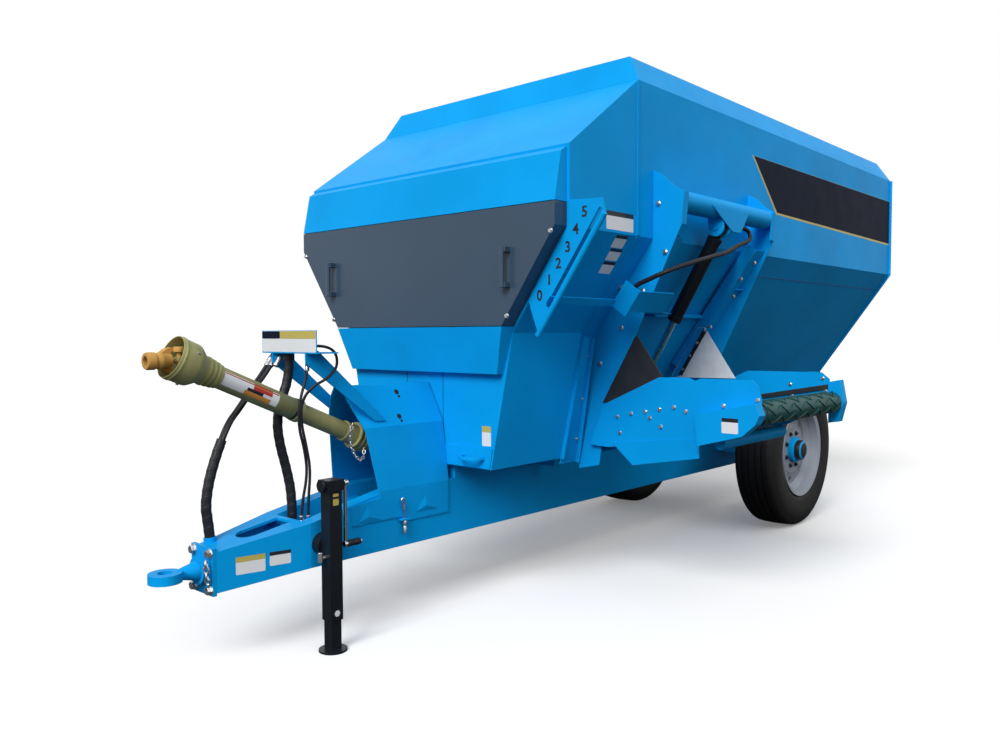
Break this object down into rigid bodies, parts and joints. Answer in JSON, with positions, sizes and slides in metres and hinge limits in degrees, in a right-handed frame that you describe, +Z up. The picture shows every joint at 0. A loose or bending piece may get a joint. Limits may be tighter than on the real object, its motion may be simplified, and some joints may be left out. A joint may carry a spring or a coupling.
{
  "type": "feed mixer wagon",
  "caption": "Towed feed mixer wagon with an open hopper, mixing augers, a sliding side gate, a discharge belt, a drive shaft and a parking jack.",
  "frame": {"origin": "middle of the wagon's box, on the ground", "axes": "+X forward towards the tow eye, +Y towards the discharge belt, +Z up"},
  "size_m": [5.459, 2.352, 2.576],
  "materials": {
    "paint_blue": "satin",
    "paint_black": "satin",
    "paint_silver": "satin",
    "paint_ochre": "matte",
    "steel_bare": "worn",
    "steel_bright": "polished",
    "rubber_black": "matte",
    "belt_green": "matte",
    "sheet_white": "matte",
    "tyre_black": "matte",
    "plastic_olive": "matte"
  },
  "bodies": {
    "wagon": {"auger_bearings": "paint_blue", "axle_beam": "paint_blue", "belt_seals": "rubber_black", "chassis_members": "paint_blue", "chassis_rails": "paint_blue", "chute_frame": "paint_blue", "conveyor_bed": "paint_blue", "conveyor_belt": "belt_green", "conveyor_drive_guard": "paint_blue", "conveyor_end_bracket": "paint_blue", "conveyor_rollers": "steel_bare", "conveyor_side_front": "paint_blue", "conveyor_side_rear": "paint_blue", "conveyor_skirt": "paint_blue", "cover_black": "paint_black", "cover_lower": "paint_blue", "cover_service": "paint_blue", "cover_upper": "paint_blue", "drawbar_nose": "paint_blue", "drive_hood": "paint_blue", "flap_rubber": "rubber_black", "flap_white": "sheet_white", "gauge_plate": "paint_blue", "gearbox": "paint_black", "hitch_flange": "paint_blue", "hopper_front_wall": "paint_blue", "hopper_rear_wall": "paint_blue", "hopper_rim": "paint_blue", "hopper_side_left": "paint_blue", "hopper_side_right": "paint_blue", "hopper_trough": "paint_blue", "jack_crank": "paint_black", "jack_tube": "paint_black", "pto_guard": "paint_blue", "sign_bracket": "paint_blue"},
    "wheel_left": {"tyre_left": "tyre_black", "rim_left": "paint_silver", "hub_left": "paint_blue"},
    "wheel_right": {"tyre_right": "tyre_black", "rim_right": "paint_silver", "hub_right": "paint_blue"},
    "left_auger": {"auger_left": "steel_bare"},
    "right_auger": {"auger_right": "steel_bare"},
    "gate_unit": {"gate": "paint_blue"},
    "cylinder_barrel": {"gate_cylinder_barrel": "paint_black"},
    "cylinder_rod": {"gate_cylinder_rod": "steel_bright"},
    "tow_eye": {"hitch_eye": "paint_blue"},
    "jack_foot": {"jack_leg": "paint_black"},
    "shaft_rear": {"pto_rear_half": "plastic_olive"},
    "shaft_front": {"pto_front_half": "plastic_olive"},
    "shaft_yoke": {"pto_yoke": "paint_ochre"}
  },
  "joints": [
    {"name": "wheel_left_spin", "type": "hinge", "parent": "wagon", "child": "wheel_left", "pos_m": [-1.4105, 0.338, 0.505], "axis": [0, 1, 0], "continuous": true},
    {"name": "wheel_right_spin", "type": "hinge", "parent": "wagon", "child": "wheel_right", "pos_m": [-1.4105, -0.902, 0.505], "axis": [0, 1, 0], "continuous": true},
    {"name": "auger_left_spin", "type": "hinge", "parent": "wagon", "child": "left_auger", "pos_m": [-0.922, -0.106, 0.86], "axis": [1, 0, 0], "continuous": true},
    {"name": "auger_right_spin", "type": "hinge", "parent": "wagon", "child": "right_auger", "pos_m": [-0.922, -0.458, 0.86], "axis": [1, 0, 0], "continuous": true},
    {"name": "gate_slide", "type": "slide", "parent": "wagon", "child": "gate_unit", "axis": [0, 0.5764, 0.8171], "range_m": [0, 0.405]},
    {"name": "cylinder_swing", "type": "hinge", "parent": "wagon", "child": "cylinder_barrel", "pos_m": [0.2655, 0.718, 1.80799], "axis": [1, 0, 0], "range_deg": [0, 4.08]},
    {"name": "rod_slide", "type": "slide", "parent": "cylinder_barrel", "child": "cylinder_rod", "axis": [0, 0.4939, 0.8695], "range_m": [0, 0.4022]},
    {"name": "eye_swivel", "type": "hinge", "parent": "wagon", "child": "tow_eye", "pos_m": [2.5185, -0.282, 0.382], "axis": [1, 0, 0], "continuous": true},
    {"name": "jack_slide", "type": "slide", "parent": "wagon", "child": "jack_foot", "axis": [0, 0, 1], "range_m": [-0.24, 0.11]},
    {"name": "shaft_lower", "type": "hinge", "parent": "wagon", "child": "shaft_rear", "pos_m": [1.6255, -0.282, 0.772], "axis": [0, 1, 0], "range_deg": [0, 32]},
    {"name": "shaft_extend", "type": "slide", "parent": "shaft_rear", "child": "shaft_front", "axis": [0.9171, 0, 0.3987], "range_m": [0, 0.3]},
    {"name": "yoke_swing", "type": "hinge", "parent": "shaft_front", "child": "shaft_yoke", "pos_m": [2.593, -0.282, 1.19268], "axis": [0, 1, 0], "range_deg": [-55, 20]}
  ],
  "couplings": [
    {"joint": "auger_right_spin", "follows": "auger_left_spin", "ratio": -1},
    {"joint": "cylinder_swing", "follows": "gate_slide", "rad_per_m": 0.17388},
    {"joint": "rod_slide", "follows": "gate_slide", "ratio": 0.99179}
  ]
}
